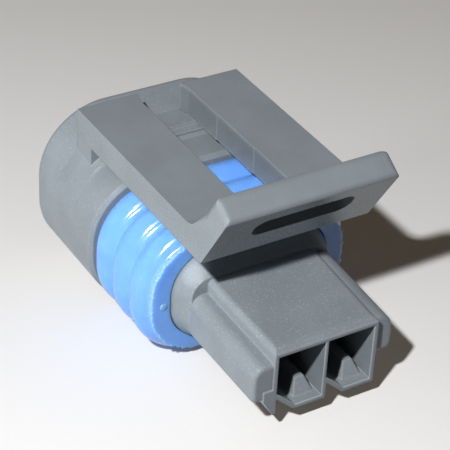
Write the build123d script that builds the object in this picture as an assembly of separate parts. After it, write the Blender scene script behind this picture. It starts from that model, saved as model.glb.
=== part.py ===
from build123d import *
from math import cos, radians, sin, sqrt
import os

# Sealed two-way electrical connector, in millimetres.
# X runs across it, -Y is the mating face, +Y the wire side and +Z the latch side.
# The origin is on the plate under the barrel, midway between the nose and the wire end.

# barrel: the oval rear body that the wires enter
barrel_width = 22.0
barrel_height = 13.8
barrel_flat = 1.2
barrel_front = 5.9
barrel_rear = 17.15
rim_chamfer = 0.35
rear_edge_radius = 0.7
rear_edge_turn = 30

# raised rear part of the barrel, which carries the latch
root_front = 9.85
root_front_rise = 0.55
root_foot = 0.25
root_ledge = 12.05
root_ledge_rise = 0.9
root_rear_rise = 2.0
root_radius_gain = 0.7

# mouth at the wire end
mouth_wall = 1.5
mouth_floor = 8.6

# seal in the mouth, with a hole for each wire
cable_seal_recess = 1.4
cable_seal_length = 6.0
cable_rib_height = 0.35
cable_rib_width = 1.1
cable_rib_count = 3
cable_rib_chamfer = 0.25
wire_hole_diameter = 1.9
wire_collar_diameter = 4.0
wire_collar_height = 0.5
wire_passage_diameter = 3.0
wire_height = 6.2

# core that the front seal sits on, and the cone that ends it
seal_side = 2.9
seal_height = 2.0
core_flat = 1.0
core_front = -4.3
cone_length = 2.0
cone_side = 0.95
cone_under = 1.9
cone_over = 1.7
cone_radius = 1.8

# nose: two thin-walled cavities under one roof
nose_front = -17.15
nose_side_wall = 0.37
nose_top = 9.35
nose_flare = 0.35
nose_rear_top = 9.95
nose_edge_radius = 0.6
nose_bottom = 4.9
roof_front_radius = 0.8

# rails on the sides of the nose: the right one sits higher, so that the plug only goes in one way up
rail_root = 0.15
rail_reach = 1.95
rail_rise = 0.65
left_rail_front = -17.0
left_rail_bottom = 4.3
left_rail_top = 7.95
left_rail_low_radius = 0.45
left_rail_high_radius = 1.2
right_rail_front = -16.6
right_rail_bottom = 5.1
right_rail_top = 8.95
right_rail_low_radius = 0.7
right_rail_high_radius = 1.6
rail_end_radius = 0.4

# keel under the left side of the nose
keel_tip = 2.6
keel_tip_width = 0.3
keel_reach = 0.95
keel_rise = 1.0

# cavities, open at the nose
cavity_pitch = 5.0
cavity_width = 4.76
cavity_floor = 2.8
cavity_top = 8.7
cavity_chamfer_rise = 1.9
cavity_chamfer_run = 2.0
cavity_wall = 0.35
cavity_depth = 18.0
guide_start = 2.4
guide_thickness = 0.5
tongue_start = 1.0
tongue_length = 5.4
tongue_height = 1.35
tongue_ramp = 0.8
tongue_width = 2.0
tongue_top_width = 0.9
tongue_offset = 1.05

# front seal: depths of its outside below the barrel's outline, and the spacing of its ribs
seal_rib_depth = 0.05
seal_valley_depth = 1.0
seal_collar_depth = 1.15
seal_core_overlap = 0.4
rib_pitch = 3.25
seal_rib_count = 3
seal_rib_steps = 5

# latch frame: two arms and a lip on legs that stand on the barrel
latch_width = 17.0
latch_gap = 0.95
latch_thickness = 2.75
latch_rear = 13.4
leg_front = 10.65
latch_corner = -9.63
lip_length = 7.5
lip_lean = 32.0
lip_thickness = 2.78
lip_heel_radius = 2.2
lip_front_radius = 0.5
lip_back_radius = 0.9
lip_corner_radius = 0.5
lip_side_radius = 1.1
lip_side_start = 0.1
lip_side_height = 2.6
lip_side_run = 1.6
slot_low = 3.05
slot_high = 5.75
slot_width = 9.9
slot_radius = 1.2

# window between the arms, with the small steps in its walls
window_width = 5.12
window_rear_width = 4.5
window_front = -6.45
window_step = 0.08
first_step = 6.85
second_step = 0.4

middle = barrel_height / 2
across = barrel_width / 2
barrel_radius = (barrel_height - barrel_flat) / 2
root_front_top = barrel_height + root_front_rise
root_ledge_top = barrel_height + root_ledge_rise
root_rear_top = barrel_height + root_rear_rise
root_radius = barrel_radius + root_radius_gain
latch_bottom = barrel_height + latch_gap
latch_top = latch_bottom + latch_thickness
core_width = barrel_width - 2 * seal_side
core_bottom = seal_height
core_top = barrel_height - seal_height
core_radius = (core_top - core_bottom - core_flat) / 2
cone_front = core_front - cone_length
nose_root = core_front - cone_length / 2
nose_width = cavity_pitch + cavity_width + 2 * nose_side_wall
nose_rear_width = nose_width + 2 * nose_flare


def crosswise(y):
    """Drawing plane across the part at this y, with up as its second direction."""
    return Plane.XZ.offset(-y)


def oval(y, width, bottom, top, low_radius, high_radius):
    """Section across the part, its lower and upper corners rounded apart."""
    outline = Pos(0, (bottom + top) / 2) * Rectangle(width, top - bottom)
    outline = fillet(outline.vertices().group_by(Axis.Y)[-1], high_radius)
    outline = fillet(outline.vertices().group_by(Axis.Y)[0], low_radius)
    return crosswise(y) * outline


def barrel_section(y, inset, top, high_radius):
    """Oval of the barrel at this y, its sides and floor moved in by the inset."""
    return oval(y, barrel_width - 2 * inset, inset, top, barrel_radius - inset, high_radius)


# barrel: the low front part, then the raised part that rises towards the wires
body = extrude(barrel_section(root_front, 0, barrel_height, barrel_radius), amount=root_front - barrel_front)
rim = body.faces().sort_by(Axis.Y)[0]
body = chamfer(rim.edges(), rim_chamfer)
foot_top = barrel_height + root_foot
foot_stations = [
    barrel_section(root_front - root_foot, 0, barrel_height, barrel_radius),
    barrel_section(root_front, 0, foot_top, barrel_radius + root_foot),
]
foot = loft(foot_stations)
root_stations = [
    barrel_section(root_front, 0, root_front_top, root_radius),
    barrel_section(root_ledge, 0, root_ledge_top, root_radius),
    barrel_section(latch_rear, 0, root_ledge_top, root_radius),
]
for turn in range(0, 91, rear_edge_turn):
    inset = rear_edge_radius * (1 - cos(radians(turn)))
    y = barrel_rear - rear_edge_radius * (1 - sin(radians(turn)))
    root_stations.append(barrel_section(y, inset, root_rear_top - inset, root_radius - inset))
root = loft(root_stations, ruled=True)
body += foot + root

# legs that the latch stands on
leg_block = Pos(0, leg_front, middle) * Box(
    latch_width, latch_rear - leg_front, latch_bottom - middle, align=(Align.CENTER, Align.MIN, Align.MIN)
)
leg_gap = Pos(0, leg_front, root_ledge_top) * Box(
    window_width, latch_rear - leg_front, latch_bottom - root_ledge_top, align=(Align.CENTER, Align.MIN, Align.MIN)
)
body += leg_block - leg_gap

# core for the front seal and the cone that ends it
core_section = oval(barrel_front, core_width, core_bottom, core_top, core_radius, core_radius)
core = extrude(core_section, amount=barrel_front - core_front)
cone_back = oval(core_front, core_width, core_bottom, core_top, core_radius, core_radius)
cone_width = core_width - 2 * cone_side
cone_end = oval(cone_front, cone_width, core_bottom + cone_under, core_top - cone_over, cone_radius, cone_radius)
body += core + loft([cone_back, cone_end])


def rail(front, bottom, top, low_radius, high_radius):
    """Right rail: it rises towards the cone, and its outer edges and its front end are rounded."""
    inner = cavity_pitch / 2 + cavity_width / 2 + rail_root
    side_view = [(nose_root, bottom), (nose_root, top + rail_rise), (front, top), (front, bottom)]
    solid = Plane.YZ.offset(inner) * make_face(Polyline(*side_view, close=True))
    solid = extrude(solid, amount=nose_width / 2 + rail_reach - inner)
    solid = fillet(solid.faces().sort_by(Axis.X)[-1].edges().sort_by(Axis.Z)[-1], high_radius)
    solid = fillet(solid.faces().sort_by(Axis.X)[-1].edges().sort_by(Axis.Z)[0], low_radius)
    return fillet(solid.faces().sort_by(Axis.Y)[0].edges(), rail_end_radius)


def cavity_section(y, centre):
    """Opening of a cavity at this y, with the cut lower corner that turns a terminal the right way."""
    left = centre - cavity_width / 2
    right = centre + cavity_width / 2
    corners = [
        (left, cavity_top),
        (right, cavity_top),
        (right, cavity_floor),
        (left + cavity_chamfer_run, cavity_floor),
        (left, cavity_floor + cavity_chamfer_rise),
    ]
    return crosswise(y) * make_face(Polyline(*corners, close=True))


# nose: the roof tapers in plan and in side view, with rounded long edges and a rounded front edge
roof_plan = [
    (-nose_rear_width / 2, nose_root),
    (nose_rear_width / 2, nose_root),
    (nose_width / 2, nose_front),
    (-nose_width / 2, nose_front),
]
roof_side = [(nose_root, nose_bottom), (nose_root, nose_rear_top), (nose_front, nose_top), (nose_front, nose_bottom)]
roof = extrude(Pos(0, 0, nose_bottom) * make_face(Polyline(*roof_plan, close=True)), amount=nose_rear_top)
roof &= extrude(Plane.YZ * make_face(Polyline(*roof_side, close=True)), amount=nose_rear_width, both=True)
long_edges = roof.faces().sort_by(Axis.Z)[-1].edges().sort_by(Axis.X)
roof = fillet([long_edges[0], long_edges[-1]], nose_edge_radius)
front_waste = Rectangle(2 * roof_front_radius, 2 * roof_front_radius, align=(Align.MAX, Align.MIN))
front_waste = Pos(nose_front + roof_front_radius, nose_top - roof_front_radius) * (
    front_waste - Circle(roof_front_radius)
)
roof -= extrude(Plane.YZ * front_waste, amount=nose_width, both=True)
left_rail = mirror(
    rail(left_rail_front, left_rail_bottom, left_rail_top, left_rail_low_radius, left_rail_high_radius), Plane.YZ
)
right_rail = rail(right_rail_front, right_rail_bottom, right_rail_top, right_rail_low_radius, right_rail_high_radius)
centres = [-cavity_pitch / 2, cavity_pitch / 2]
keel_side = centres[0] - cavity_width / 2
keel_start = keel_side - cavity_wall - keel_reach
keel_corners = [
    (keel_side, cavity_floor + cavity_chamfer_rise),
    (keel_side, left_rail_bottom + keel_rise),
    (keel_start, left_rail_bottom + keel_rise),
    (keel_start, left_rail_bottom),
    (keel_side - keel_tip_width, keel_tip),
    (keel_side, keel_tip),
]
under = crosswise(nose_root) * make_face(Polyline(*keel_corners, close=True))
for centre in centres:
    under += offset(cavity_section(nose_root, centre), cavity_wall, kind=Kind.INTERSECTION)
body += roof + left_rail + right_rail + extrude(under, amount=nose_root - nose_front)

# cavities with their guide walls and tongues, and the passages for the wires
for centre in centres:
    cavity = extrude(cavity_section(nose_front + cavity_depth, centre), amount=cavity_depth)
    guide = Pos(centre - cavity_width / 2, nose_front + guide_start, cavity_floor) * Box(
        guide_thickness,
        cavity_depth - guide_start,
        cavity_top - cavity_floor,
        align=(Align.MIN, Align.MIN, Align.MIN),
    )
    tongue_middle = nose_front + tongue_start + tongue_length / 2
    tongue_base = Pos(centre + tongue_offset, tongue_middle, cavity_floor) * Rectangle(tongue_width, tongue_length)
    tongue_top = Pos(centre + tongue_offset, tongue_middle, cavity_floor + tongue_height) * Rectangle(
        tongue_top_width, tongue_length - 2 * tongue_ramp
    )
    tongue = loft([tongue_base, tongue_top])
    body -= cavity - guide - tongue
    passage = crosswise(mouth_floor) * Pos(centre, wire_height) * Circle(wire_passage_diameter / 2)
    body -= extrude(passage, amount=mouth_floor - nose_front - cavity_depth)

# mouth
mouth_radius = barrel_radius - mouth_wall
mouth = barrel_section(barrel_rear, mouth_wall, barrel_height - mouth_wall, mouth_radius)
body -= extrude(mouth, amount=barrel_rear - mouth_floor)
housing = body

# front seal: a quarter of the ring is extruded along its flats and turned round its corner, then mirrored
seal_bore_depth = max(seal_side, seal_height) + seal_core_overlap
lobe_rise = seal_valley_depth - seal_rib_depth
lobe_radius = ((rib_pitch / 2) ** 2 + lobe_rise**2) / (2 * lobe_rise)
ribbed_side = []
for step in range(seal_rib_count * seal_rib_steps + 1):
    across_rib = rib_pitch * (step % seal_rib_steps / seal_rib_steps - 0.5)
    y = barrel_front - rib_pitch * step / seal_rib_steps
    ribbed_side.append((y, sqrt(lobe_radius**2 - across_rib**2) - lobe_radius - seal_rib_depth))
ribbed_side += [
    (core_front, -seal_collar_depth),
    (core_front, -seal_bore_depth),
    (barrel_front, -seal_bore_depth),
]
seal_side_view = make_face(Polyline(*ribbed_side, close=True))
flat = across - barrel_radius
corner_height = barrel_height - barrel_radius
upright = Plane.YZ * Pos(0, barrel_height) * seal_side_view
level = Plane(origin=(0, 0, corner_height), x_dir=(0, 1, 0), z_dir=(0, 0, -1)) * Pos(0, across) * seal_side_view
quarter = extrude(upright, amount=flat)
quarter += revolve(Pos(flat, 0, 0) * upright, Axis((flat, 0, corner_height), (0, 1, 0)), 90)
quarter += extrude(level, amount=corner_height - middle)
seal_half = quarter + mirror(quarter, Plane.YZ)
interface_seal = seal_half + mirror(seal_half, Plane.XY.offset(middle)) - core

# cable seal: plug with ribs that fill the mouth
plug_front = barrel_rear - cable_seal_recess - cable_seal_length
plug_rear = plug_front + cable_seal_length
plug_inset = mouth_wall + cable_rib_height
plug_top = barrel_height - plug_inset
plug = barrel_section(plug_rear, plug_inset, plug_top, barrel_radius - plug_inset)
cable_seal = extrude(plug, amount=cable_seal_length)
rib_spacing = cable_seal_length / cable_rib_count
for number in range(cable_rib_count):
    rib_rear = plug_front + rib_spacing * (number + 0.5) + cable_rib_width / 2
    rib = barrel_section(rib_rear, mouth_wall, barrel_height - mouth_wall, mouth_radius)
    rib = extrude(rib, amount=cable_rib_width)
    outer = rib.faces().sort_by(Axis.Y)
    rib = chamfer(outer[0].edges() + outer[-1].edges(), cable_rib_chamfer)
    cable_seal += rib
for centre in centres:
    at_rear = crosswise(plug_rear + wire_collar_height) * Pos(centre, wire_height)
    cable_seal += extrude(at_rear * Circle(wire_collar_diameter / 2), amount=wire_collar_height + cable_rib_width)
    cable_seal -= extrude(at_rear * Circle(wire_hole_diameter / 2), amount=wire_collar_height + cable_seal_length)

# latch frame: side profile with the lip leaning forward
corner = Vector(latch_corner, latch_bottom)
lean = Vector(0, 1).rotate(Axis.Z, lip_lean)
through = Vector(1, 0).rotate(Axis.Z, lip_lean)
lip_edge = corner + lean * lip_length
lip_back = lip_edge + through * lip_thickness
heel = lip_back - lean * ((lip_back.Y - latch_top) / lean.Y)
latch_side = [
    (latch_rear, latch_bottom),
    (corner.X, corner.Y),
    (lip_edge.X, lip_edge.Y),
    (lip_back.X, lip_back.Y),
    (heel.X, heel.Y),
    (latch_rear, latch_top),
]
profile = make_face(Polyline(*latch_side, close=True))
rounded = [(lip_edge, lip_front_radius), (lip_back, lip_back_radius), (heel, lip_heel_radius)]
for place, radius in rounded:
    profile = fillet(profile.vertices().sort_by_distance(place)[0], radius)
latch_frame = extrude(Plane.YZ * profile, amount=latch_width / 2, both=True)

# window, its walls stepped back towards the lip and drawn together at the legs
half_window = window_width / 2
window_plan = [
    (0, latch_rear),
    (window_rear_width / 2, latch_rear),
    (half_window, root_ledge),
    (half_window, first_step),
    (half_window + window_step, first_step),
    (half_window + window_step, second_step),
    (half_window + 2 * window_step, second_step),
    (half_window + 2 * window_step, window_front),
    (0, window_front),
]
window_side = make_face(Polyline(*window_plan, close=True))
window_side = extrude(Pos(0, 0, latch_bottom) * window_side, amount=latch_top - latch_bottom)
latch_frame -= window_side + mirror(window_side, Plane.YZ)

# lip: a slot along its middle, rounded free corners, and back edges that round off above the arms
lip_plane = Plane((0, latch_corner, latch_bottom), x_dir=(1, 0, 0), z_dir=(0, -through.X, -through.Y))
slot = lip_plane * Pos(0, (slot_low + slot_high) / 2) * RectangleRounded(slot_width, slot_high - slot_low, slot_radius)
latch_frame -= extrude(slot, amount=-2 * lip_thickness)


def edge_waste(height, radius):
    """What rounding off the lip's right back edge takes away at this height up the lip."""
    section = Plane(lip_plane.from_local_coords(Vector(0, height, 0)), x_dir=(1, 0, 0), z_dir=lip_plane.y_dir)
    centre = Pos(latch_width / 2 - radius, lip_thickness - radius)
    square = Rectangle(radius + lip_thickness, radius + lip_thickness, align=(Align.MIN, Align.MIN))
    return section * centre * (square - Circle(radius))


free_corner = Pos(latch_width / 2 - lip_corner_radius, lip_length - lip_corner_radius)
corner_square = Rectangle(2 * lip_corner_radius, 2 * lip_corner_radius, align=(Align.MIN, Align.MIN))
waste = extrude(lip_plane * free_corner * (corner_square - Circle(lip_corner_radius)), amount=-2 * lip_thickness)
round_edge = edge_waste(lip_side_height + lip_side_run, lip_side_radius)
waste += loft([edge_waste(lip_side_height, lip_side_start), round_edge], ruled=True)
waste += extrude(round_edge, amount=lip_length - lip_side_height)
latch_frame -= waste + mirror(waste, Plane.YZ)

# one file per node
os.makedirs("parts", exist_ok=True)
nodes = {
    "housing": housing,
    "interface_seal": interface_seal,
    "cable_seal": cable_seal,
    "latch_frame": latch_frame,
}
for name, node in nodes.items():
    export_step(node, f"parts/{name}.step")
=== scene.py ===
"""Looks and studio for a sealed two-way electrical connector lying on white paper."""
import logging
import math
from dataclasses import dataclass, field
from enum import Enum

import bpy
from mathutils import Matrix, Vector


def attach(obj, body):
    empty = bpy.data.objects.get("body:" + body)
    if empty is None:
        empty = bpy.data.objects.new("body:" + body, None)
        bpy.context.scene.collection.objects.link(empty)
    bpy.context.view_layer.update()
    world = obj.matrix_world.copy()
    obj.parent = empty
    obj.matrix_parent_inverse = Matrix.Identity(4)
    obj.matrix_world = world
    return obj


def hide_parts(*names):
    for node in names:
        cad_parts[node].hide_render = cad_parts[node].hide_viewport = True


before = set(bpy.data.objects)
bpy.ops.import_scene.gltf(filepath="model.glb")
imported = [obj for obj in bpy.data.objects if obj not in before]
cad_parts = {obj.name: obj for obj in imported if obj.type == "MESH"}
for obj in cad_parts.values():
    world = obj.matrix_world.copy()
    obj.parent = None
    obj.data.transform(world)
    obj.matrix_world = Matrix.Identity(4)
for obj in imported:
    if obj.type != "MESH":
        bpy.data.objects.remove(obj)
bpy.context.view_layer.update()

LOG = logging.getLogger("connector")
MM = 0.001
HOUSING_BODY = "housing"

Colour = tuple[float, float, float]
Span = tuple[float, float]
Socket = bpy.types.NodeSocket
Input = Socket | float | tuple[float, ...]


class Slot(Enum):
    """The record's material slots."""

    HOUSING = "housing"
    SEAL = "seal"


class Skin(Enum):
    """How the mould was finished: the strength of the painted highlight specks (paler colour, lower
    roughness) that its texture gets, and the share of the grain.
    """

    SPARKED = (0.35, 1.0)
    SMOOTH = (0.05, 0.06)

    def __init__(self, painted_glitter: float, grain: float) -> None:
        """Keeps the two values of an option.

        Args:
            painted_glitter: How strongly the painted highlight specks show.
            grain: The share of the grain's depth.
        """
        self.painted_glitter = painted_glitter
        self.grain = grain


@dataclass(frozen=True)
class Pattern:
    """A noise: the size of its patches in metres, how many finer layers it has, and how strong they are."""

    size: float
    detail: float = 2.0
    roughness: float = 0.5


@dataclass(frozen=True)
class Patch:
    """A round place on a piece."""

    centre: tuple[float, float, float]
    radius: float


def tinted(colour: Colour, factor: float) -> Colour:
    """Makes a colour paler or deeper.

    Args:
        colour: The colour, linear.
        factor: What to multiply it by.

    Returns:
        The new colour, at most white.
    """
    return tuple(min(1.0, channel * factor) for channel in colour)


class Net:
    """A node tree with short calls for the nodes that finishes and shapes share."""

    def __init__(self, tree: bpy.types.NodeTree) -> None:
        """Takes a tree to add nodes to.

        Args:
            tree: The tree.
        """
        self.tree = tree

    def node(
        self, kind: str, inputs: dict[str | int, object] | None = None, **settings: object
    ) -> bpy.types.Node:
        """Adds one node.

        Args:
            kind: The node's type name.
            inputs: Values or sockets for the node's inputs, by name or index.
            **settings: The node's own settings.

        Returns:
            The new node.
        """
        made = self.tree.nodes.new(kind)
        for name, value in settings.items():
            setattr(made, name, value)
        for key, value in (inputs or {}).items():
            if isinstance(value, Socket):
                self.tree.links.new(value, made.inputs[key])
            else:
                made.inputs[key].default_value = value
        return made

    def maths(self, operation: str, first: Input, second: Input = 0.0, third: Input = 0.0) -> Socket:
        """Adds a Math node.

        Args:
            operation: Blender's name of the operation.
            first: The first value or socket.
            second: The second value or socket.
            third: The third value or socket.

        Returns:
            The result.
        """
        return self.node("ShaderNodeMath", {0: first, 1: second, 2: third}, operation=operation).outputs[0]

    def vector(self, operation: str, first: Input, second: Input = (0.0, 0.0, 0.0)) -> Socket:
        """Adds a Vector Math node.

        Args:
            operation: Blender's name of the operation.
            first: The first vector or socket.
            second: The second vector or socket.

        Returns:
            The result, a number for a length, distance or dot product.
        """
        made = self.node("ShaderNodeVectorMath", {0: first, 1: second}, operation=operation)
        numeric = operation in ("LENGTH", "DISTANCE", "DOT_PRODUCT")
        return made.outputs["Value" if numeric else "Vector"]

    def scaled(self, vector: Socket, factor: Input) -> Socket:
        """Multiplies a vector by a number.

        Args:
            vector: The vector.
            factor: The number or socket.

        Returns:
            The scaled vector.
        """
        inputs = {0: vector, "Scale": factor}
        return self.node("ShaderNodeVectorMath", inputs, operation="SCALE").outputs["Vector"]

    def remap(self, value: Socket, span: Span, onto: Span = (0.0, 1.0)) -> Socket:
        """Maps one range of a value onto another, clamped.

        Args:
            value: The value.
            span: The range that it comes in.
            onto: The range that it goes to.

        Returns:
            The mapped value.
        """
        inputs = {0: value, 1: span[0], 2: span[1], 3: onto[0], 4: onto[1]}
        return self.node("ShaderNodeMapRange", inputs).outputs[0]

    def noise_node(self, place: Socket, pattern: Pattern) -> bpy.types.Node:
        """Adds a noise over some coordinates.

        Args:
            place: The coordinates.
            pattern: The noise's sizes.

        Returns:
            The noise's node.
        """
        inputs = {
            "Vector": place,
            "Scale": 1.0 / pattern.size,
            "Detail": pattern.detail,
            "Roughness": pattern.roughness,
        }
        return self.node("ShaderNodeTexNoise", inputs)


class Graph(Net):
    """A material's node tree."""

    PATCH_CORE = 0.5
    EDGE_SAMPLES = 6
    EDGE_TURN_SPAN = (0.985, 0.86)

    def __init__(self, name: str) -> None:
        """Starts an empty material.

        Args:
            name: The material's name.
        """
        self.material = bpy.data.materials.new(name)
        self.material.use_nodes = True
        super().__init__(self.material.node_tree)
        self.tree.nodes.clear()
        self.place = self.node("ShaderNodeTexCoord").outputs["Object"]

    def noise(self, pattern: Pattern) -> Socket:
        """Adds a noise over the piece's own coordinates.

        Args:
            pattern: The noise's sizes.

        Returns:
            The noise's value.
        """
        return self.noise_node(self.place, pattern).outputs["Fac"]

    def blend(self, factor: Input, low: Colour | Socket, high: Colour | Socket) -> Socket:
        """Mixes two colours.

        Args:
            factor: 0 gives the low colour and 1 the high one.
            low: The low colour, linear, or a socket.
            high: The high colour, linear, or a socket.

        Returns:
            The mixed colour.
        """
        low = low if isinstance(low, Socket) else (*low, 1.0)
        high = high if isinstance(high, Socket) else (*high, 1.0)
        return self.node("ShaderNodeMix", {0: factor, 6: low, 7: high}, data_type="RGBA").outputs[2]

    def near(self, patch: Patch) -> Socket:
        """Gives 1 at a patch's centre, fading to 0 at its radius.

        Args:
            patch: The patch.

        Returns:
            The fade.
        """
        away = self.vector("DISTANCE", self.place, patch.centre)
        return self.remap(away, (self.PATCH_CORE * patch.radius, patch.radius), (1.0, 0.0))

    def rounded_edge(self, radius: Input) -> tuple[Socket, Socket]:
        """Rounds sharp edges in the shading.

        Args:
            radius: How far from the edge the rounding reaches, a number or a socket.

        Returns:
            The rounded normal, and how far it turns from the surface's own.
        """
        rounded = self.node("ShaderNodeBevel", {"Radius": radius}, samples=self.EDGE_SAMPLES).outputs[0]
        flat = self.node("ShaderNodeNewGeometry").outputs["Normal"]
        likeness = self.vector("DOT_PRODUCT", rounded, flat)
        return rounded, self.remap(likeness, self.EDGE_TURN_SPAN)

    def finish(self, shader: Socket) -> bpy.types.Material:
        """Joins the shader to the output.

        Args:
            shader: The surface's shader.

        Returns:
            The finished material.
        """
        self.node("ShaderNodeOutputMaterial", {"Surface": shader})
        return self.material


class ShapeNet(Net):
    """A Geometry Nodes tree with named inputs."""

    KINDS = {float: "NodeSocketFloat", int: "NodeSocketInt", bpy.types.Material: "NodeSocketMaterial"}

    def __init__(self, name: str, values: dict[str, object]) -> None:
        """Starts a tree with one geometry input and the named ones.

        Args:
            name: The tree's name.
            values: What each named input is set to.
        """
        super().__init__(bpy.data.node_groups.new(name, "GeometryNodeTree"))
        self.values = values
        sockets = self.tree.interface
        sockets.new_socket("Geometry", in_out="INPUT", socket_type="NodeSocketGeometry")
        sockets.new_socket("Geometry", in_out="OUTPUT", socket_type="NodeSocketGeometry")
        for title, value in values.items():
            sockets.new_socket(title, in_out="INPUT", socket_type=self.KINDS[type(value)])
        self.given = self.node("NodeGroupInput").outputs

    def applied(self, start: bpy.types.ID, shape: Socket) -> bpy.types.Object:
        """Ends the tree, runs it on a mesh or curve and keeps the result as a plain mesh.

        Args:
            start: The mesh or curve that the tree's geometry input gets.
            shape: The tree's last geometry, before its instances are made real.

        Returns:
            An object that holds the mesh.
        """
        real = self.node("GeometryNodeRealizeInstances", {"Geometry": shape}).outputs[0]
        painted = self.node("GeometryNodeSetMaterial", {"Geometry": real, "Material": self.given["Material"]})
        self.node("NodeGroupOutput", {0: painted.outputs[0]})
        carrier = bpy.data.objects.new(self.tree.name + "_start", start)
        bpy.context.scene.collection.objects.link(carrier)
        modifier = carrier.modifiers.new(self.tree.name, "NODES")
        modifier.node_group = self.tree
        for item in self.tree.interface.items_tree:
            if item.in_out == "INPUT" and item.name in self.values:
                modifier[item.identifier] = self.values[item.name]
        bpy.context.view_layer.update()
        done = carrier.evaluated_get(bpy.context.evaluated_depsgraph_get())
        mesh = bpy.data.meshes.new_from_object(done)
        bpy.data.objects.remove(carrier)
        made = bpy.data.objects.new(self.tree.name, mesh)
        bpy.context.scene.collection.objects.link(made)
        return made


@dataclass(frozen=True)
class MouldedPlastic:
    """Grey moulded plastic with the grain that an eroded mould leaves."""

    name: str
    skin: Skin
    colour: Colour = (0.212, 0.240, 0.262)
    clouds: Pattern = Pattern(4.0 * MM)
    cloud_span: Span = (0.35, 0.65)
    cloud_strength: float = 0.05
    grain: Pattern = Pattern(0.15 * MM, 3.0, 0.65)
    grain_span: Span = (0.3, 0.7)
    grain_depth: float = 0.006 * MM
    # Painted highlight specks: pale spots in the colour, with lower roughness, over the whole piece and
    # stronger in the glints patches.
    painted_glitter: Pattern = Pattern(0.17 * MM, 1.0)
    painted_glitter_span: Span = (0.62, 0.72)
    painted_glitter_gain: float = 1.9
    painted_glint_strength: float = 0.5
    glint_polish: float = 0.18
    glints: tuple[Patch, ...] = ()
    roughness: float = 0.34
    roughness_spread: float = 0.06
    specular: float = 0.2
    edge_radius: float = 0.2 * MM
    # Places where the edges round wider, both in the shading and in the painted edge highlight.
    soft_places: tuple[Patch, ...] = ()
    soft_radius: float = 0.6 * MM
    # Painted edge highlight: how strongly, and how much paler, the colour is painted along the rounded edges.
    edge_highlight_strength: float = 0.45
    edge_highlight_gain: float = 1.7
    speck_colour: Colour = (0.03, 0.032, 0.035)
    speck_spacing: float = 1.1 * MM
    speck_radius: float = 0.035 * MM
    speck_share: Span = (0.93, 0.94)
    speck_strength: float = 0.7

    def specks(self, graph: Graph) -> Socket:
        """Gives the strength of the few dark specks in the plastic.

        Args:
            graph: The tree to add the nodes to.

        Returns:
            The strength.
        """
        inputs = {"Vector": graph.place, "Scale": 1.0 / self.speck_spacing}
        cells = graph.node("ShaderNodeTexVoronoi", inputs).outputs
        speck = graph.remap(cells["Distance"], (0.0, self.speck_radius / self.speck_spacing), (1.0, 0.0))
        chance = graph.node("ShaderNodeSeparateColor", {0: cells["Color"]}).outputs[0]
        few = graph.remap(chance, self.speck_share, (0.0, self.speck_strength))
        return graph.maths("MULTIPLY", speck, few)

    def painted_sparkle(self, graph: Graph) -> Socket:
        """Gives the strength of the painted highlight specks, which is stronger in the patches given as
        glints; it makes the colour paler and the roughness lower.

        Args:
            graph: The tree to add the nodes to.

        Returns:
            The strength.
        """
        painted_glitter = graph.remap(graph.noise(self.painted_glitter), self.painted_glitter_span, (0.0, self.skin.painted_glitter))
        if not self.glints:
            return painted_glitter
        painted_glint: Input = 0.0
        for patch in self.glints:
            painted_glint = graph.maths("MAXIMUM", graph.near(patch), painted_glint)
        return graph.maths("MULTIPLY_ADD", painted_glint, self.painted_glint_strength, painted_glitter)

    def material(self) -> bpy.types.Material:
        """Builds the material.

        Returns:
            The material.
        """
        graph = Graph(self.name)
        clouds = graph.remap(graph.noise(self.clouds), self.cloud_span)
        pale = tinted(self.colour, 1.0 + self.cloud_strength)
        deep = tinted(self.colour, 1.0 - self.cloud_strength)
        # Painted highlights: the colour turns paler where the highlight specks and the glints patches are.
        painted_sparkle = self.painted_sparkle(graph)
        colour = graph.blend(clouds, deep, pale)
        colour = graph.blend(painted_sparkle, colour, tinted(self.colour, self.painted_glitter_gain))
        reach: Input = self.edge_radius
        extra = self.soft_radius - self.edge_radius
        for patch in self.soft_places:
            reach = graph.maths("MULTIPLY_ADD", graph.near(patch), extra, reach)
        # Painted edge highlight: the colour turns paler where the bevel rounds the edges, wider at the soft
        # places.
        rounded, edge_turn = graph.rounded_edge(reach)
        painted_edge_highlight = graph.maths("MULTIPLY", edge_turn, self.edge_highlight_strength)
        colour = graph.blend(painted_edge_highlight, colour, tinted(self.colour, self.edge_highlight_gain))
        colour = graph.blend(self.specks(graph), colour, self.speck_colour)
        grain = graph.noise(self.grain)
        least, most = self.roughness - self.roughness_spread, self.roughness + self.roughness_spread
        rough = graph.remap(grain, self.grain_span, (least, most))
        rough = graph.maths("MULTIPLY_ADD", painted_sparkle, -self.glint_polish, rough)
        depth = self.grain_depth * self.skin.grain
        bump = graph.node(
            "ShaderNodeBump", {"Height": grain, "Distance": depth, "Strength": 1.0, "Normal": rounded}
        ).outputs[0]
        shader = graph.node(
            "ShaderNodeBsdfPrincipled",
            {"Base Color": colour, "Roughness": rough, "Specular IOR Level": self.specular, "Normal": bump},
        )
        return graph.finish(shader.outputs[0])


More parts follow.
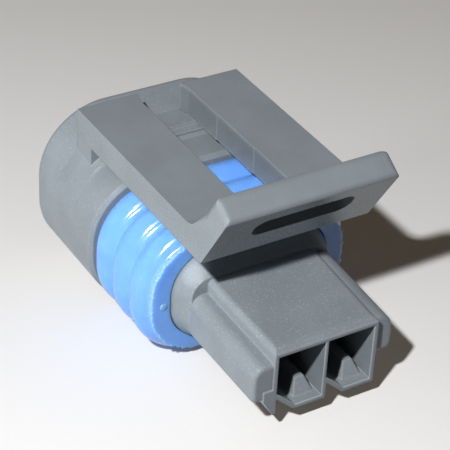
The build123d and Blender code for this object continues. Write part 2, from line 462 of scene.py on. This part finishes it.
@dataclass(frozen=True)
class Silicone:
    """Blue silicone with a satin skin, streaked round the ribs and frosted where the mould's halves met."""

    name: str
    colour: Colour = (0.165, 0.395, 0.920)
    clouds: Pattern = Pattern(1.6 * MM, 3.0)
    cloud_span: Span = (0.3, 0.7)
    cloud_strength: float = 0.06
    roughness: float = 0.14
    streak: float = 0.9
    streaks: Pattern = Pattern(0.22 * MM, 2.0, 0.6)
    streak_stretch: tuple[float, float, float] = (0.1, 1.0, 0.1)
    streak_depth: float = 0.01 * MM
    depth_of_light: float = 0.8 * MM
    light_radius: tuple[float, float, float] = (0.3, 0.7, 1.0)
    light_share: float = 0.5
    frost: Colour = (0.50, 0.66, 0.86)
    frost_along: Span = (-3.55 * MM, -4.15 * MM)
    frost_facing: Span = (-0.9, -0.5)
    frost_roughness: float = 0.2
    crystals: Pattern = Pattern(0.16 * MM, 3.0, 0.7)
    crystal_span: Span = (0.42, 0.62)
    crystal_strength: float = 0.8

    def frosted(self, graph: Graph) -> Socket:
        """Gives the strength of the frost on the band before the front edge, but not on the front face.

        Args:
            graph: The tree to add the nodes to.

        Returns:
            The strength.
        """
        along = graph.node("ShaderNodeSeparateXYZ", {0: graph.place}).outputs[1]
        normal = graph.node("ShaderNodeNewGeometry").outputs["Normal"]
        facing = graph.node("ShaderNodeSeparateXYZ", {0: normal}).outputs[1]
        strength = graph.remap(graph.noise(self.crystals), self.crystal_span, (0.0, self.crystal_strength))
        strength = graph.maths("MULTIPLY", graph.remap(along, self.frost_along), strength)
        return graph.maths("MULTIPLY", strength, graph.remap(facing, self.frost_facing))

    def material(self) -> bpy.types.Material:
        """Builds the material.

        Returns:
            The material.
        """
        graph = Graph(self.name)
        clouds = graph.remap(graph.noise(self.clouds), self.cloud_span)
        pale = tinted(self.colour, 1.0 + self.cloud_strength)
        deep = tinted(self.colour, 1.0 - self.cloud_strength)
        frosted = self.frosted(graph)
        colour = graph.blend(frosted, graph.blend(clouds, deep, pale), self.frost)
        ringwise = graph.vector("MULTIPLY", graph.place, self.streak_stretch)
        skin = graph.noise_node(ringwise, self.streaks).outputs["Fac"]
        bump = graph.node(
            "ShaderNodeBump", {"Height": skin, "Distance": self.streak_depth, "Strength": 1.0}
        ).outputs[0]
        shader = graph.node(
            "ShaderNodeBsdfPrincipled",
            {
                "Base Color": colour,
                "Roughness": graph.maths("MULTIPLY_ADD", frosted, self.frost_roughness, self.roughness),
                "Subsurface Weight": self.light_share,
                "Subsurface Radius": self.light_radius,
                "Subsurface Scale": self.depth_of_light,
                "Anisotropic": self.streak,
                "Tangent": graph.node("ShaderNodeTangent", direction_type="RADIAL", axis="Y").outputs[0],
                "Normal": bump,
            },
        )
        return graph.finish(shader.outputs[0])


def dress(node: str, material: bpy.types.Material) -> None:
    """Gives a CAD node its finish.

    Args:
        node: The node's name.
        material: The finish.
    """
    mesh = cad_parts[node].data
    mesh.materials.clear()
    mesh.materials.append(material)
    LOG.info("dressed %s", node)


def hand_over(piece: bpy.types.Object, name: str) -> None:
    """Names a new piece and joins it to the housing's body.

    Args:
        piece: The piece.
        name: Its name.
    """
    piece.name = name
    piece.data.name = name
    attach(piece, HOUSING_BODY)
    LOG.info("made %s: %d faces", name, len(piece.data.polygons))


@dataclass
class FrontSeal:
    """The ribbed sleeve on the core, with its collar, its ragged flash and its gate mark.

    Each of front_rows is a point of the section at the front: how far it lies below the collar, how far
    behind the front, and how far in, from 0 on the outside to 1 on the core, or from 0 to -1 up the flash.
    Each of rear_rows is one at the back: how far ahead of the rear it lies, and how far in.
    """

    width: float = 22.0 * MM
    height: float = 13.8 * MM
    radius: float = 6.3 * MM
    middle: float = 6.9 * MM
    rear: float = 5.9 * MM
    front: float = -4.3 * MM
    rib_pitch: float = 3.25 * MM
    rib_count: int = 3
    rib_depth: float = 0.05 * MM
    valley_depth: float = 1.0 * MM
    valley_blend: float = 0.4 * MM
    collar_depth: float = 1.15 * MM
    core_width: float = 16.2 * MM
    core_height: float = 9.8 * MM
    core_radius: float = 4.4 * MM
    core_gap: float = 0.07 * MM
    rib_steps: int = 16
    turn_steps: int = 600
    corner_steps: int = 48
    flash_height: float = 0.42 * MM
    flash_patch: float = 0.55 * MM
    flash_detail: float = 3.0
    flash_roughness: float = 0.7
    flash_span: Span = (0.38, 0.72)
    flash_range: Span = (0.12, 1.0)
    inward_unit: float = 3.0 * MM
    seam: float = 0.0005 * MM
    gate: tuple[float, float, float] = (-8.85 * MM, -4.3 * MM, 6.7 * MM)
    gate_radius: float = 0.38 * MM
    gate_height: float = 0.14 * MM
    gate_steps: int = 32
    front_rows: tuple[tuple[float, float, float], ...] = (
        (-0.1 * MM, 0.25 * MM, 0.0),
        (-0.02 * MM, 0.12 * MM, 0.0),
        (0.0, 0.08 * MM, -0.4),
        (0.0, 0.06 * MM, -1.0),
        (0.0, 0.04 * MM, -1.0),
        (0.02 * MM, 0.025 * MM, -0.3),
        (0.08 * MM, 0.0, 0.0),
        (0.08 * MM, 0.0, 0.15),
        (0.08 * MM, 0.0, 0.3),
        (0.08 * MM, 0.0, 0.5),
        (0.08 * MM, 0.0, 0.7),
        (0.08 * MM, 0.0, 0.85),
        (0.08 * MM, 0.0, 0.95),
        (0.0, 0.02 * MM, 0.99),
        (0.0, 0.1 * MM, 1.0),
        (0.0, 0.6 * MM, 1.0),
    )
    rear_rows: tuple[tuple[float, float], ...] = ((0.1 * MM, 1.0), (0.0, 0.9))

    def rib_depth_at(self, y: float) -> float:
        """Depth of the ribbed outside below the barrel's outline.

        Args:
            y: The place along the part.

        Returns:
            The depth, in metres.
        """
        rise = self.valley_depth - self.rib_depth
        total = 0.0
        for number in range(self.rib_count):
            crest = self.rear - self.rib_pitch * (number + 0.5)
            lobe = self.rib_depth + rise * ((y - crest) / (self.rib_pitch / 2)) ** 2
            total += math.exp(-lobe / (self.valley_blend / 2))
        return min(-math.log(total) * self.valley_blend / 2, self.collar_depth)

    def section(self) -> bpy.types.Mesh:
        """Makes the section's points: depth below the outline, place along the part, and how far in.

        Returns:
            A mesh of the points alone, in the order that they go round the section.
        """
        points = [(self.rib_depth_at(self.rear), self.rear, 0.0)]
        steps = self.rib_count * self.rib_steps
        for step in range(1, steps + 1):
            y = self.rear - self.rib_pitch * step / self.rib_steps
            points.append((self.rib_depth_at(y), y, 0.0))
        for sunk, behind, inward in self.front_rows:
            points.append((self.collar_depth + sunk, self.front + behind, inward * self.inward_unit))
        for ahead, inward in self.rear_rows:
            points.append((self.collar_depth, self.rear - ahead, inward * self.inward_unit))
        points.append(points[0])
        mesh = bpy.data.meshes.new("seal_section")
        mesh.from_pydata(points, [], [])
        return mesh

    def shape(self, finish: bpy.types.Material) -> bpy.types.Object:
        """Sweeps the section round the barrel's outline.

        Args:
            finish: The silicone.

        Returns:
            The seal, a closed mesh.
        """
        section = self.section()
        net = ShapeNet(
            "seal_sweep",
            {
                "Width": self.width,
                "Height": self.height,
                "Corner Radius": self.radius,
                "Corner Steps": self.corner_steps,
                "Turn Steps": self.turn_steps,
                "Section Points": len(section.vertices),
                "Bore Radius": self.core_radius + self.core_gap,
                "Flash Height": self.flash_height,
                "Flash Patch": self.flash_patch,
                "Gate Radius": self.gate_radius,
                "Material": finish,
            },
        )
        given = net.given
        sheet = net.node(
            "GeometryNodeMeshGrid",
            {
                "Size X": 1.0,
                "Size Y": 1.0,
                "Vertices X": net.maths("ADD", given["Turn Steps"], 1.0),
                "Vertices Y": given["Section Points"],
            },
        )
        here = net.node("GeometryNodeInputPosition").outputs[0]
        from_corner = net.vector("ADD", here, (0.5, 0.5, 0.0))
        spread = net.node("ShaderNodeSeparateXYZ", {0: from_corner}).outputs
        last = net.maths("SUBTRACT", given["Section Points"], 1.0)
        number = net.maths("ROUND", net.maths("MULTIPLY", spread[1], last))
        sides = net.node(
            "GeometryNodeCurvePrimitiveQuadrilateral", {"Width": given["Width"], "Height": given["Height"]}
        )
        outline = net.node(
            "GeometryNodeFilletCurve",
            {"Curve": sides.outputs[0], "Radius": given["Corner Radius"], "Count": given["Corner Steps"]},
            mode="POLY",
        )
        along = net.node(
            "GeometryNodeSampleCurve", {"Curves": outline.outputs[0], "Factor": spread[0]}, mode="FACTOR"
        )
        place = along.outputs["Position"]
        flat = (self.width / 2 - self.radius, self.height / 2 - self.radius, 1.0)
        centre = net.vector("MINIMUM", net.vector("MAXIMUM", place, tuple(-f for f in flat)), flat)
        outward = net.vector("NORMALIZE", net.vector("SUBTRACT", place, centre))
        inner_flat = (self.core_width / 2 - self.core_radius, self.core_height / 2 - self.core_radius, 1.0)
        inner_centre = net.vector("MULTIPLY", centre, tuple(i / f for i, f in zip(inner_flat, flat)))
        point = net.node(
            "GeometryNodeSampleIndex",
            {"Geometry": given["Geometry"], "Value": here, "Index": number},
            data_type="FLOAT_VECTOR",
        )
        parts = net.node("ShaderNodeSeparateXYZ", {0: point.outputs[0]}).outputs
        inward = net.remap(parts[2], (0.0, self.inward_unit))
        fin = net.remap(parts[2], (0.0, -self.inward_unit))
        scale = net.maths("DIVIDE", 1.0, given["Flash Patch"])
        inputs = {
            "Vector": place,
            "Scale": scale,
            "Detail": self.flash_detail,
            "Roughness": self.flash_roughness,
        }
        ragged = net.node("ShaderNodeTexNoise", inputs).outputs["Fac"]
        tall = net.maths("MULTIPLY", net.remap(ragged, self.flash_span, self.flash_range), fin)
        reach = net.maths("SUBTRACT", given["Corner Radius"], parts[0])
        reach = net.maths("MULTIPLY_ADD", tall, given["Flash Height"], reach)
        outer = net.vector("ADD", centre, net.scaled(outward, reach))
        inner = net.vector("ADD", inner_centre, net.scaled(outward, given["Bore Radius"]))
        across = net.vector("ADD", outer, net.scaled(net.vector("SUBTRACT", inner, outer), inward))
        flatwise = net.node("ShaderNodeSeparateXYZ", {0: across}).outputs
        height = net.maths("ADD", flatwise[1], self.middle)
        final = net.node("ShaderNodeCombineXYZ", {0: flatwise[0], 1: parts[1], 2: height}).outputs[0]
        swept = net.node("GeometryNodeSetPosition", {"Geometry": sheet.outputs[0], "Position": final})
        closed = net.node(
            "GeometryNodeMergeByDistance", {"Geometry": swept.outputs[0], "Distance": self.seam}
        )
        ball = net.node(
            "GeometryNodeMeshUVSphere",
            {"Segments": self.gate_steps, "Rings": self.gate_steps // 2, "Radius": given["Gate Radius"]},
        )
        flattened = (1.0, self.gate_height / self.gate_radius, 1.0)
        gate = net.node(
            "GeometryNodeTransform",
            {"Geometry": ball.outputs[0], "Translation": self.gate, "Scale": flattened},
        )
        both = net.node("GeometryNodeJoinGeometry", {0: closed.outputs[0]})
        net.tree.links.new(gate.outputs[0], both.inputs[0])
        smooth = net.node("GeometryNodeSetShadeSmooth", {0: both.outputs[0]})
        return net.applied(section, smooth.outputs[0])

    def build(self, finish: bpy.types.Material) -> None:
        """Makes the seal in place of the plain solid.

        Args:
            finish: The silicone.
        """
        seal = self.shape(finish)
        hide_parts("interface_seal")
        hand_over(seal, "front_seal")


@dataclass
class MouthFlash:
    """The thin ragged edge that the mould left round one terminal cavity."""

    centre: float
    name: str
    width: float = 4.76 * MM
    floor: float = 2.8 * MM
    top: float = 8.7 * MM
    cut_rise: float = 1.9 * MM
    cut_run: float = 2.0 * MM
    front: float = -17.15 * MM
    thickness: float = 0.055 * MM
    girth_span: Span = (0.35, 0.7)
    girth_range: Span = (0.35, 1.0)
    sides: int = 6
    step: float = 0.09 * MM
    sway: float = 0.05 * MM
    ragged: Pattern = Pattern(0.5 * MM, 3.0, 0.7)

    def outline(self) -> bpy.types.Curve:
        """Draws the cavity's mouth.

        Returns:
            A closed curve.
        """
        left, right = self.centre - self.width / 2, self.centre + self.width / 2
        corners = [
            (left, self.top),
            (right, self.top),
            (right, self.floor),
            (left + self.cut_run, self.floor),
            (left, self.floor + self.cut_rise),
        ]
        curve = bpy.data.curves.new(self.name + "_outline", "CURVE")
        curve.dimensions = "3D"
        spline = curve.splines.new("POLY")
        spline.points.add(len(corners) - 1)
        spline.use_cyclic_u = True
        depth = self.front + self.thickness + self.sway
        for point, (x, z) in zip(spline.points, corners):
            point.co = (x, depth, z, 1.0)
        return curve

    def build(self, finish: bpy.types.Material) -> None:
        """Makes the edge.

        Args:
            finish: The plastic.
        """
        values = {"Thickness": self.thickness, "Step": self.step, "Sway": self.sway, "Material": finish}
        net = ShapeNet(self.name + "_sweep", values)
        given = net.given
        points = net.node(
            "GeometryNodeResampleCurve", {"Curve": given["Geometry"], "Length": given["Step"]}, mode="LENGTH"
        )
        here = net.node("GeometryNodeInputPosition").outputs[0]
        ragged = net.noise_node(here, self.ragged)
        centred = net.vector("SUBTRACT", ragged.outputs["Color"], (0.5, 0.5, 0.5))
        shift = net.scaled(centred, net.maths("MULTIPLY", given["Sway"], 2.0))
        swayed = net.node("GeometryNodeSetPosition", {"Geometry": points.outputs[0], "Offset": shift})
        girth = net.remap(ragged.outputs["Fac"], self.girth_span, self.girth_range)
        thick = net.node("GeometryNodeSetCurveRadius", {"Curve": swayed.outputs[0], "Radius": girth})
        ring = net.node(
            "GeometryNodeCurvePrimitiveCircle", {"Resolution": self.sides, "Radius": given["Thickness"]}
        )
        bead = net.node(
            "GeometryNodeCurveToMesh", {"Curve": thick.outputs[0], "Profile Curve": ring.outputs["Curve"]}
        )
        smooth = net.node("GeometryNodeSetShadeSmooth", {0: bead.outputs[0]})
        edge = net.applied(self.outline(), smooth.outputs[0])
        hand_over(edge, self.name)


@dataclass
class Housing:
    """The moulded body: its finish, the edges of its cavities and the pips that the mould left on it."""

    cavity_pitch: float = 5.0 * MM
    pip_radius: float = 0.045 * MM
    pip_front: float = -16.95 * MM
    pip_spread: float = 18.0 / MM / MM
    pip_core: float = 0.4
    pip_size: Span = (0.4, 1.2)
    pip_height: float = 0.5
    seed: int = 4
    # Pale colour painted on the pips and the cavity mouth edges as their highlights; the roughness and
    # specular below are real polish.
    polish_and_highlight_paint: Colour = (0.36, 0.39, 0.42)
    burnished_roughness: float = 0.2
    burnished_specular: float = 0.8
    burnished_edge: float = 0.02 * MM
    corners: tuple[Patch, ...] = (
        Patch((-4.75 * MM, -16.75 * MM, 9.05 * MM), 0.95 * MM),
        Patch((-6.55 * MM, -16.6 * MM, 7.75 * MM), 0.7 * MM),
        Patch((-5.6 * MM, -16.8 * MM, 7.9 * MM), 0.6 * MM),
        Patch((-6.1 * MM, -5.2 * MM, 9.9 * MM), 1.5 * MM),
    )

    def pips(self, finish: bpy.types.Material) -> None:
        """Scatters tiny flat pips over the faces that meet in one of the corners.

        Args:
            finish: The plastic.
        """
        values = {
            "Pip Radius": self.pip_radius,
            "Spread": self.pip_spread,
            "Seed": self.seed,
            "Material": finish,
        }
        net = ShapeNet("mould_pip_scatter", values)
        given = net.given
        here = net.node("GeometryNodeInputPosition").outputs[0]
        wanted: Input = 0.0
        for patch in self.corners:
            away = net.vector("DISTANCE", here, patch.centre)
            near = net.remap(away, (self.pip_core * patch.radius, patch.radius), (1.0, 0.0))
            wanted = net.maths("MAXIMUM", near, wanted)
        along = net.node("ShaderNodeSeparateXYZ", {0: here}).outputs[1]
        behind = net.maths("GREATER_THAN", along, self.pip_front)
        density = net.maths("MULTIPLY", net.maths("MULTIPLY", wanted, behind), given["Spread"])
        spots = net.node(
            "GeometryNodeDistributePointsOnFaces",
            {"Mesh": given["Geometry"], "Density": density, "Seed": given["Seed"]},
        )
        ball = net.node("GeometryNodeMeshIcoSphere", {"Radius": given["Pip Radius"], "Subdivisions": 1})
        smooth = net.node("GeometryNodeSetShadeSmooth", {0: ball.outputs[0]})
        least, most = self.pip_size
        inputs = {2: least, 3: most, "Seed": given["Seed"]}
        share = net.node("FunctionNodeRandomValue", inputs, data_type="FLOAT").outputs[1]
        size = net.node("ShaderNodeCombineXYZ", {0: share, 1: share, 2: self.pip_height}).outputs[0]
        placed = net.node(
            "GeometryNodeInstanceOnPoints",
            {
                "Points": spots.outputs["Points"],
                "Instance": smooth.outputs[0],
                "Rotation": spots.outputs["Rotation"],
                "Scale": size,
            },
        )
        pips = net.applied(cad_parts["housing"].data.copy(), placed.outputs[0])
        hand_over(pips, "mould_pips")

    def build(self) -> None:
        """Dresses the housing and makes its small pieces."""
        # The cone's patch gets painted highlight: paler colour, with lower roughness.
        cone = self.corners[-1]
        dress("housing", MouldedPlastic("housing_plastic", Skin.SPARKED, glints=(cone,)).material())
        # The pale colour is painted highlight on the pips and the mouth edges; the low roughness and high
        # specular are real polish.
        polish_and_highlight_paint = MouldedPlastic(
            "polished_highlight_painted_plastic",
            Skin.SMOOTH,
            colour=self.polish_and_highlight_paint,
            roughness=self.burnished_roughness,
            specular=self.burnished_specular,
            edge_radius=self.burnished_edge,
        ).material()
        self.pips(polish_and_highlight_paint)
        MouthFlash(-self.cavity_pitch / 2, "left_mouth_edge").build(polish_and_highlight_paint)
        MouthFlash(self.cavity_pitch / 2, "right_mouth_edge").build(polish_and_highlight_paint)


@dataclass
class LatchFrame:
    """The sprung frame with its slotted lip."""

    roughness: float = 0.28
    specular: float = 0.3
    edge_radius: float = 0.09 * MM
    # The lip's ends get wider rounding and a wider painted edge highlight.
    lip_ends: tuple[Patch, ...] = (
        Patch((-8.5 * MM, -12.2 * MM, 21.6 * MM), 2.4 * MM),
        Patch((8.5 * MM, -12.2 * MM, 21.6 * MM), 2.4 * MM),
    )

    def build(self) -> None:
        """Dresses the frame."""
        finish = MouldedPlastic(
            "latch_plastic",
            Skin.SMOOTH,
            roughness=self.roughness,
            edge_radius=self.edge_radius,
            specular=self.specular,
            soft_places=self.lip_ends,
        )
        dress("latch_frame", finish.material())


def seen_directly(net: Net) -> Socket:
    """Gives 1 for what is seen, straight or by reflection or through glass, and 0 for light on the part.

    Args:
        net: The tree to add the nodes to.

    Returns:
        The switch.
    """
    path = net.node("ShaderNodeLightPath").outputs
    either = net.maths("MAXIMUM", path["Is Camera Ray"], path["Is Glossy Ray"])
    return net.maths("MAXIMUM", either, path["Is Transmission Ray"])


@dataclass
class Studio:
    """Camera, lamps and paper."""

    target: Vector = field(default_factory=lambda: Vector((0.0, 0.35, 9.948)) * MM)
    azimuth: float = math.radians(-32.043)
    elevation: float = math.radians(34.425)
    roll: float = math.radians(3.068)
    distance: float = 164.301 * MM
    focal_share: float = 1800.0 / 450.0
    sensor: float = 36.0
    clip_start: float = 10.0 * MM
    floor_tilt: float = math.radians(1.8)
    floor_pivot: Vector = field(default_factory=lambda: Vector((0.0, 6.2, -0.22)) * MM)
    paper_side: float = 0.6
    paper_roughness: float = 0.9
    paper_specular: float = 0.2
    fibres: Pattern = Pattern(0.5 * MM, 3.0, 0.6)
    fibre_depth: float = 0.01 * MM
    paper_colour: Colour = (0.84, 0.84, 0.84)
    paper_bounce: Colour = (0.3, 0.3, 0.3)
    # Warm glow painted on the paper for the camera, to warm its shadows.
    painted_warm_glow: Colour = (0.030, 0.017, 0.004)
    ambient: float = 0.03
    backdrop: float = 0.42
    lamp_place: Vector = field(default_factory=lambda: Vector((-110.0, -87.0, 155.0)) * MM)
    lamp_size: float = 8.0 * MM
    lamp_power: float = 0.48
    fill_place: Vector = field(default_factory=lambda: Vector((-258.0, 10.0, 14.0)) * MM)
    fill_size: float = 50.0 * MM
    fill_power: float = 0.5

    def camera(self) -> None:
        """Makes the camera at the photograph's angle."""
        sin_a, cos_a = math.sin(self.azimuth), math.cos(self.azimuth)
        sin_e, cos_e = math.sin(self.elevation), math.cos(self.elevation)
        back = Vector((sin_a * cos_e, -cos_a * cos_e, sin_e))
        right = Vector((cos_a, sin_a, 0.0))
        up = back.cross(right)
        turned_right = right * math.cos(self.roll) + up * math.sin(self.roll)
        turned_up = up * math.cos(self.roll) - right * math.sin(self.roll)
        place = Matrix((turned_right, turned_up, back)).transposed().to_4x4()
        place.translation = self.target + back * self.distance
        data = bpy.data.cameras.new("camera")
        data.sensor_width = self.sensor
        data.lens = self.sensor * self.focal_share
        data.clip_start = self.clip_start
        camera = bpy.data.objects.new("camera", data)
        camera.matrix_world = place
        bpy.context.scene.collection.objects.link(camera)
        bpy.context.scene.camera = camera

    def paper(self) -> None:
        """Makes the sheet of paper, tilted because the part leans on its nose."""
        half = self.paper_side / 2
        corners = [(-half, -half, 0), (half, -half, 0), (half, half, 0), (-half, half, 0)]
        turn = Matrix.Translation(self.floor_pivot) @ Matrix.Rotation(-self.floor_tilt, 4, "X")
        mesh = bpy.data.meshes.new("paper")
        mesh.from_pydata([turn @ Vector(c) for c in corners], [], [(0, 1, 2, 3)])
        sheet = bpy.data.objects.new("paper", mesh)
        bpy.context.scene.collection.objects.link(sheet)
        graph = Graph("white_paper")
        colour = graph.blend(seen_directly(graph), self.paper_bounce, self.paper_colour)
        fibre = graph.node(
            "ShaderNodeBump",
            {"Height": graph.noise(self.fibres), "Distance": self.fibre_depth, "Strength": 1.0},
        )
        camera = graph.node("ShaderNodeLightPath").outputs["Is Camera Ray"]
        shader = graph.node(
            "ShaderNodeBsdfPrincipled",
            {
                "Base Color": colour,
                "Roughness": self.paper_roughness,
                "Specular IOR Level": self.paper_specular,
                "Normal": fibre.outputs[0],
                # Painted light: the paper glows faintly warm to the camera, which warms its shadows.
                "Emission Color": (*self.painted_warm_glow, 1.0),
                "Emission Strength": camera,
            },
        )
        mesh.materials.append(graph.finish(shader.outputs[0]))

    def lamp(self, name: str, place: Vector, size: float, power: float, glints: bool) -> None:
        """Adds a square lamp that looks at the part.

        Args:
            name: The lamp's name.
            place: Where it stands, in metres.
            size: The length of its side in metres.
            power: Its power in watts.
            glints: Whether glossy surfaces mirror it.
        """
        data = bpy.data.lights.new(name, "AREA")
        data.size = size
        data.energy = power
        lamp = bpy.data.objects.new(name, data)
        lamp.visible_glossy = glints
        lamp.location = place
        lamp.rotation_euler = (self.target - place).to_track_quat("-Z", "Y").to_euler()
        bpy.context.scene.collection.objects.link(lamp)

    def world(self) -> None:
        """Makes the surroundings: dim to the part, white to the camera and in reflections."""
        world = bpy.data.worlds.new("room")
        world.use_nodes = True
        net = Net(world.node_tree)
        net.tree.nodes.clear()
        strength = net.remap(seen_directly(net), (0.0, 1.0), (self.ambient, self.backdrop))
        sky = net.node("ShaderNodeBackground", {"Color": (1.0, 1.0, 1.0, 1.0), "Strength": strength})
        net.node("ShaderNodeOutputWorld", {"Surface": sky.outputs[0]})
        bpy.context.scene.world = world

    def build(self) -> None:
        """Builds the whole studio."""
        self.camera()
        self.paper()
        self.world()
        self.lamp("key", self.lamp_place, self.lamp_size, self.lamp_power, glints=True)
        self.lamp("fill", self.fill_place, self.fill_size, self.fill_power, glints=False)
        bpy.context.scene.view_settings.view_transform = "Standard"


def main() -> None:
    """Builds every piece in order."""
    logging.basicConfig(level=logging.INFO)
    silicone = Silicone("blue_silicone").material()
    Housing().build()
    FrontSeal().build(silicone)
    dress("cable_seal", silicone)
    LatchFrame().build()
    Studio().build()


if __name__ == "__main__":
    main()
